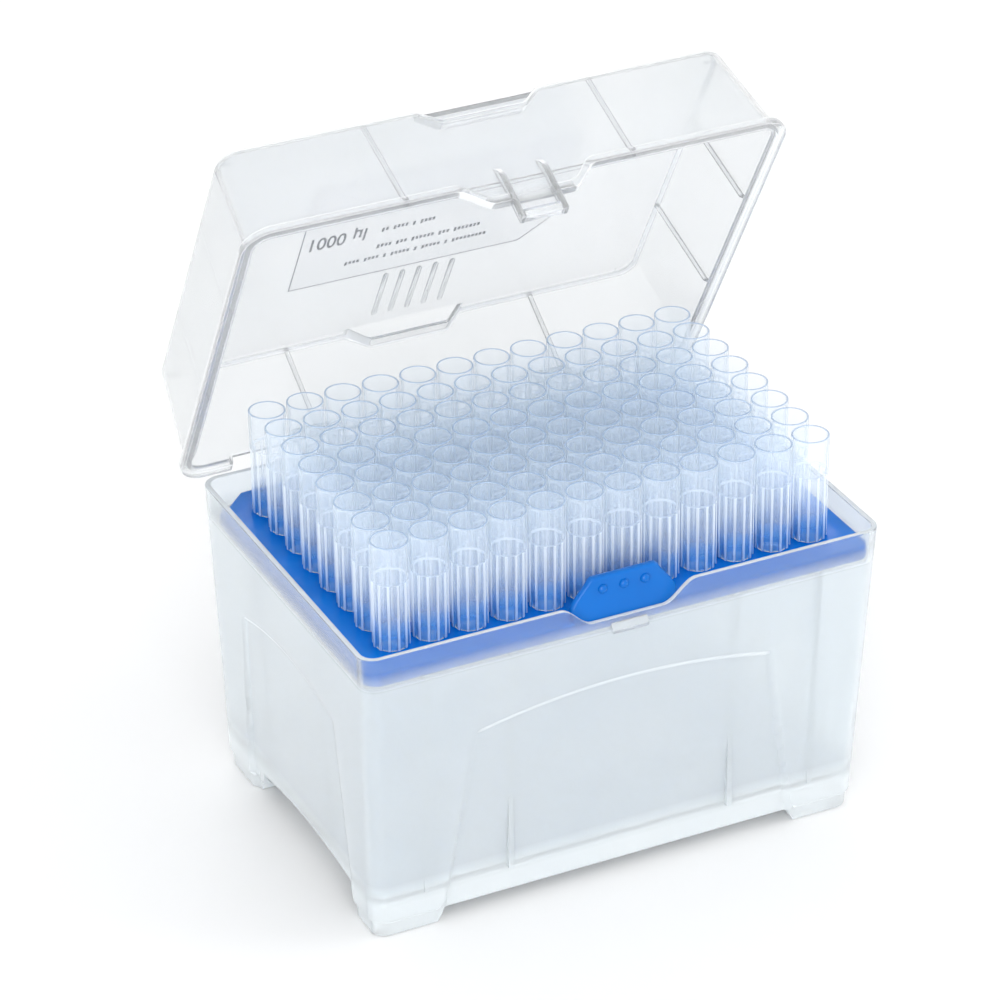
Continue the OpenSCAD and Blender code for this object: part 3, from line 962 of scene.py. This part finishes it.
def tip_plastic(plate):
    """Clear polypropylene of the tips. The ribs carry a painted highlight all along, the mouth a painted line
    of shade and the shoulder a painted line of highlight. A painted reflection of the plate's blue climbs a
    little way up whatever part of a tip stands just above the plate, and the part below the plate is clearer."""
    material, nodes, links, body, where = new_material("clear_tip_polypropylene")
    clouded(nodes, links, where, body, 60, (0.84, 0.92, 1.0), (0.87, 0.94, 1.0))
    body.inputs["Roughness"].default_value = 0.35
    bumped(nodes, links, body, noise(nodes, links, where, 140, 1.0), 0.02, 0.0004)
    lit_behind = nodes.new("ShaderNodeBsdfTranslucent")
    lit_behind.inputs["Color"].default_value = (0.83, 0.92, 1.0, 1)
    on_plate = nodes.new("ShaderNodeTexCoord")
    on_plate.object = plate

    def axes(coordinates):
        split = nodes.new("ShaderNodeSeparateXYZ")
        links.new(coordinates, split.inputs["Vector"])
        return (split.outputs[axis] for axis in "XYZ")

    x, y, z = axes(where)
    *_, level = axes(on_plate.outputs["Object"])
    across = number(nodes, links, "WRAP", y, PITCH * MM, 0.0)
    across = number(nodes, links, "SUBTRACT", across, PITCH / 2 * MM)
    squares = [number(nodes, links, "MULTIPLY", v, v) for v in (x, across)]
    radius = number(nodes, links, "SQRT", number(nodes, links, "ADD", *squares))

    def near(value, middle, reach):
        return number(nodes, links, "COMPARE", value, middle * MM, reach * MM)

    def layer(under, share, colour):
        top = nodes.new("ShaderNodeBsdfDiffuse")
        top.inputs["Color"].default_value = (*colour, 1)
        return mixed(nodes, links, share, under, top.outputs["BSDF"])

    shoulder = TIP_RIM_Z - 9.0
    ribbed = near(z, (PLATE_Z + shoulder) / 2, (shoulder - PLATE_Z) / 2)
    # Painted reflection of the blue plate: a blue layer on each tip, strongest at the deck and gone 7 mm above
    # it.
    height, most = 7.0, 0.66
    painted_plate_reflection = number(nodes, links, "MULTIPLY_ADD", level, -most / (height * MM),
                   most * (PLATE_Z + height) / height)
    painted_plate_reflection = number(nodes, links, "MULTIPLY", painted_plate_reflection, near(level, PLATE_Z + height / 2, height / 2))
    # Painted highlight: a white layer along the outer faces of the ribs.
    out_on_rib = near(radius, 4.0, 0.16)
    painted_rib_highlight = number(nodes, links, "MULTIPLY", number(nodes, links, "MULTIPLY", out_on_rib, ribbed), 0.26)
    above = number(nodes, links, "GREATER_THAN", level, PLATE_Z * MM)
    thicker = number(nodes, links, "MULTIPLY_ADD", above, 0.8, 0.2)
    haze = number(nodes, links, "MULTIPLY", by_slant(nodes, links, 0.16, 0.25, 0.85), thicker)
    milk = mixed(nodes, links, 0.45, body.outputs["BSDF"], lit_behind.outputs["BSDF"])
    surface = hazy_film(nodes, links, milk, (0.998, 0.999, 1.0), haze)
    surface = layer(surface, painted_plate_reflection, (0.0, 0.23, 0.68))
    surface = layer(surface, painted_rib_highlight, (0.93, 0.965, 1.0))
    # Painted lines round each tip: a dark line of painted shade at the mouth and a light painted highlight at
    # the shoulder.
    for line_z, share, colour in ((TIP_RIM_Z, 0.6, (0.3, 0.4, 0.56)), (shoulder, 0.22, (0.75, 0.83, 0.92))):
        surface = layer(surface, number(nodes, links, "MULTIPLY", near(z, line_z, 0.16), share), colour)
    links.new(glossed(nodes, links, surface, 0.1), nodes["Material Output"].inputs["Surface"])
    return material


def painted_highlight_share(nodes, links, tilt, level):
    """Where a painted highlight goes: 1 on the rounded edges above and below the walls of a box that is tilted
    about X by some degrees, 0 on its walls, and the share given on its level faces."""
    where = nodes.new("ShaderNodeTexCoord")
    turn = nodes.new("ShaderNodeVectorRotate")
    turn.rotation_type = "X_AXIS"
    turn.inputs["Angle"].default_value = math.radians(tilt)
    links.new(where.outputs["Normal"], turn.inputs["Vector"])
    split = nodes.new("ShaderNodeSeparateXYZ")
    links.new(turn.outputs["Vector"], split.inputs["Vector"])
    up = number(nodes, links, "ABSOLUTE", split.outputs["Z"])
    flat = number(nodes, links, "MULTIPLY_ADD", between(nodes, links, up, 0.9, 0.98), level - 1.0, 1.0)
    return number(nodes, links, "MULTIPLY", between(nodes, links, up, 0.25, 0.5), flat)


def cloudy_plastic(name, low, high, flat, edge, edge_highlight_paint, level, tilt, roughness, grain, clearer=0.0):
    """Polypropylene that blurs what is behind it, the more the farther behind it is. It lets most through
    where it is seen square on, and less at its edges. Its rounded edges, and its level faces by their share,
    let less through still, which paints a highlight on them. It may be clearer beside the tip plate, and below
    the floor of the box it then lets less through, a painted light that brightens the shaded band there."""
    material, nodes, links, shader, where = new_material(name)
    clouded(nodes, links, where, shader, 45, low, high)
    through = by_slant(nodes, links, flat, lerp(flat, edge, 0.25), edge)
    # Painted highlight: the rounded edges, and the level faces by their share, let less through and show up
    # light.
    kept = number(nodes, links, "MULTIPLY_ADD", painted_highlight_share(nodes, links, tilt, level), -edge_highlight_paint, 1.0)
    through = number(nodes, links, "MULTIPLY", through, kept)
    if clearer:
        split = nodes.new("ShaderNodeSeparateXYZ")
        links.new(where, split.inputs["Vector"])
        beside = between(nodes, links, split.outputs["Z"], (PLATE_Z - 4) * MM, (PLATE_Z + 0.5) * MM)
        through = number(nodes, links, "MULTIPLY_ADD", beside, clearer, through)
        # Painted light: below the floor of the box the wall lets less through, which brightens the band that
        # lies in shade there.
        below = between(nodes, links, split.outputs["Z"], (FLOOR_TOP + 4) * MM, (FLOOR_TOP - 2) * MM)
        painted_light_below_floor = number(nodes, links, "MULTIPLY_ADD", below, -0.25, 1.0)
        through = number(nodes, links, "MULTIPLY", through, painted_light_below_floor)
    links.new(through, shader.inputs["Transmission Weight"])
    shader.inputs["Roughness"].default_value = roughness
    shader.inputs["IOR"].default_value = 1.45
    bumped(nodes, links, shader, noise(nodes, links, where, 2500, 1.0), grain, 0.0001)
    return material


def blue_plastic(name, low, high):
    material, nodes, links, shader, where = new_material(name)
    clouded(nodes, links, where, shader, 90, low, high)
    shader.inputs["Roughness"].default_value = 0.22
    shader.inputs["Specular IOR Level"].default_value = 0.25
    shader.inputs["Subsurface Weight"].default_value = 0.12
    shader.inputs["Subsurface Radius"].default_value = (0.002, 0.003, 0.006)
    bumped(nodes, links, shader, noise(nodes, links, where, 1800, 2.0), 0.08, 0.0001)
    return material


def print_ink():
    material, nodes, links, shader, where = new_material("label_ink")
    clouded(nodes, links, where, shader, 900, (0.05, 0.055, 0.07), (0.09, 0.095, 0.11))
    shader.inputs["Roughness"].default_value = 0.5
    return material


# ---------------------------------------------------------------- the pieces

lid_kind = {"level": 0, "tilt": LID_OPEN, "roughness": 0.16, "grain": 0.06}
base_kind = {"level": 1, "tilt": 0, "roughness": 0.22, "grain": 0.12}
clear_lid = cloudy_plastic("clear_lid_polypropylene", (0.935, 0.95, 0.958), (0.952, 0.962, 0.97),
                           flat=0.87, edge=0.4, edge_highlight_paint=0.55, **lid_kind)
# The ribs and grips take a lighter, clearer copy of the lid's plastic: painted light that keeps them from
# showing as dark lines.
painted_light_relief = cloudy_plastic("clear_lid_relief_painted_light", (0.965, 0.975, 0.98), (0.975, 0.982, 0.988),
                              flat=0.97, edge=0.8, edge_highlight_paint=0.1, **lid_kind)
film = label_plastic()
frosted = cloudy_plastic("frosted_polypropylene", (0.92, 0.97, 1.0), (0.935, 0.978, 1.0),
                         flat=0.7, edge=0.45, edge_highlight_paint=0.48, clearer=0.25, **base_kind)
frosted_catch = cloudy_plastic("frosted_catch", (0.935, 0.975, 1.0), (0.95, 0.98, 1.0),
                               flat=0.85, edge=0.55, edge_highlight_paint=0.15, **base_kind)
deck_blue = blue_plastic("blue_polypropylene", (0.0, 0.15, 0.575), (0.0, 0.168, 0.635))
# The tab's blue is a darker copy of the deck's blue plastic: painted shade on the upright tab.
shaded_tab_blue = blue_plastic("blue_polypropylene_tab_painted_shade", (0.0, 0.108, 0.42), (0.0, 0.12, 0.46))
ink = print_ink()

place("base_shell", mesh_of("base_shell", base_shell(), frosted), "base", ["base_box"])
place("base_ribs", mesh_of("base_ribs", base_ribs(), frosted), "base")
place("base_catch", mesh_of("base_catch", base_catch(), frosted_catch, bevel=0.2), "base")
place("base_hinge_lugs", mesh_of("base_hinge_lugs", base_lugs(), frosted), "base")

deck = place("plate_deck", plate_mesh(deck_blue), "plate", ["tip_plate"])
place("plate_finger_tab", mesh_of("plate_finger_tab", plate_tab(), shaded_tab_blue), "plate")

place("lid_shell", mesh_of("lid_shell", lid_shell(), clear_lid), "lid", ["lid"])
place("lid_ribs", mesh_of("lid_ribs", lid_ribs(), painted_light_relief, bevel=0.12), "lid")
place("lid_grips", mesh_of("lid_grips", lid_grips(), painted_light_relief), "lid")
place("lid_latch_loop", mesh_of("lid_latch_loop", lid_latch(), clear_lid, bevel=0.2), "lid")
place("lid_hinge_arms", mesh_of("lid_hinge_arms", lid_arms(), clear_lid, bevel=0.1), "lid")
place("lid_label_film", mesh_of("lid_label_film", label_film(), film), "lid", ["lid_label"])
place("lid_label_print", mesh_of("lid_label_print", label_print(), ink), "lid")
place("lid_label_volume", volume_mark(ink), "lid")

# Every tip is drawn half a pitch off an even number of pitches, which is where its material looks for it
clear_tip = tip_plastic(deck)
tip = tip_part()
tip_mesh = mesh_of("tip", moved(tip, y=PITCH / 2), clear_tip)
column_tips = joined([moved(tip, y=((ROWS - 1) / 2 - row) * PITCH) for row in range(ROWS)])
column_mesh = mesh_of("tips_column", column_tips, clear_tip)
for column in range(1, COLUMNS):
    name = f"tips_column_{column:02d}"
    ob = place(f"clear_{name}", column_mesh, f"{name}_body", [name])
    ob.location.x = (column - (COLUMNS + 1) / 2) * PITCH * MM
for row in range(ROWS):
    name = f"tip_{'abcdefgh'[row]}12"
    ob = place(f"clear_{name}", tip_mesh, f"{name}_body", [name])
    ob.location = ((COLUMNS - 1) / 2 * PITCH * MM, ((ROWS - 1) / 2 - row - 0.5) * PITCH * MM, 0)

# ---------------------------------------------------------------- stage, light and camera


def floor():
    mesh = bpy.data.meshes.new("floor")
    reach = 12.0
    mesh.from_pydata([(-reach, -reach, 0), (reach, -reach, 0), (reach, reach, 0), (-reach, reach, 0)], [],
                     [(0, 1, 2, 3)])
    material, nodes, links, shader, where = new_material("studio_floor")
    clouded(nodes, links, where, shader, 3, (0.80, 0.803, 0.806), (0.82, 0.823, 0.826))
    shader.inputs["Roughness"].default_value = 0.9
    mesh.materials.append(material)
    ob = bpy.data.objects.new("floor", mesh)
    bpy.context.scene.collection.objects.link(ob)
    ob.location.z = -0.0002


def area_light(name, where, aim, size, power, colour=(1, 1, 1)):
    light = bpy.data.lights.new(name, "AREA")
    light.shape = "RECTANGLE"
    light.size, light.size_y = size
    light.energy = power
    light.color = colour
    ob = bpy.data.objects.new(name, light)
    ob.location = where
    ob.rotation_euler = (Vector(aim) - Vector(where)).to_track_quat("-Z", "Y").to_euler()
    bpy.context.scene.collection.objects.link(ob)


def studio_world(low, high, strength):
    """Soft light from all round, a little brighter overhead."""
    world = bpy.data.worlds.new("studio")
    world.use_nodes = True
    nodes, links = world.node_tree.nodes, world.node_tree.links
    where = nodes.new("ShaderNodeTexCoord")
    split = nodes.new("ShaderNodeSeparateXYZ")
    links.new(where.outputs["Generated"], split.inputs["Vector"])
    colour = colour_between(nodes, links, split.outputs["Z"], low, high, (0.0, 0.6))
    links.new(colour, nodes["Background"].inputs["Color"])
    nodes["Background"].inputs["Strength"].default_value = strength
    bpy.context.scene.world = world


def camera():
    """The photograph's viewpoint: azimuth, elevation and roll in degrees, and the point it looks at in mm."""
    azimuth, elevation, roll = math.radians(-25.576), math.radians(29.477), math.radians(-0.760)
    target = Vector((-22.0, -27.12, 92.7)) * MM
    distance = 923.9 * MM
    focal_px = 4443.5
    back = Vector((math.sin(azimuth) * math.cos(elevation), -math.cos(azimuth) * math.cos(elevation),
                   math.sin(elevation)))
    data = bpy.data.cameras.new("camera")
    data.sensor_width = 36.0
    data.lens = focal_px * data.sensor_width / 1000
    data.clip_start, data.clip_end = 0.05, 40
    ob = bpy.data.objects.new("camera", data)
    turn = back.to_track_quat("Z", "Y").to_matrix() @ Matrix.Rotation(roll, 3, "Z")
    ob.matrix_world = Matrix.Translation(target + back * distance) @ turn.to_4x4()
    bpy.context.scene.collection.objects.link(ob)
    bpy.context.scene.camera = ob


floor()
studio_world((1.0, 1.0, 1.0), (0.93, 0.935, 0.94), 1.05)
area_light("key", (-0.5, -1.5, 1.1), (0, 0, 0.05), (1.0, 0.8), 9)
area_light("low", (-1.0, -1.5, 0.35), (0, 0, 0.04), (1.2, 0.5), 14)
area_light("fill", (1.3, -0.6, 0.8), (0, 0, 0.05), (0.8, 1.0), 5)
area_light("back", (0.2, 1.4, 1.2), (0, 0, 0.1), (1.2, 0.8), 6)
camera()

scene = bpy.context.scene
scene.view_settings.view_transform = "Standard"
scene.cycles.max_bounces = 48
scene.cycles.transmission_bounces = 48
scene.cycles.transparent_max_bounces = 128
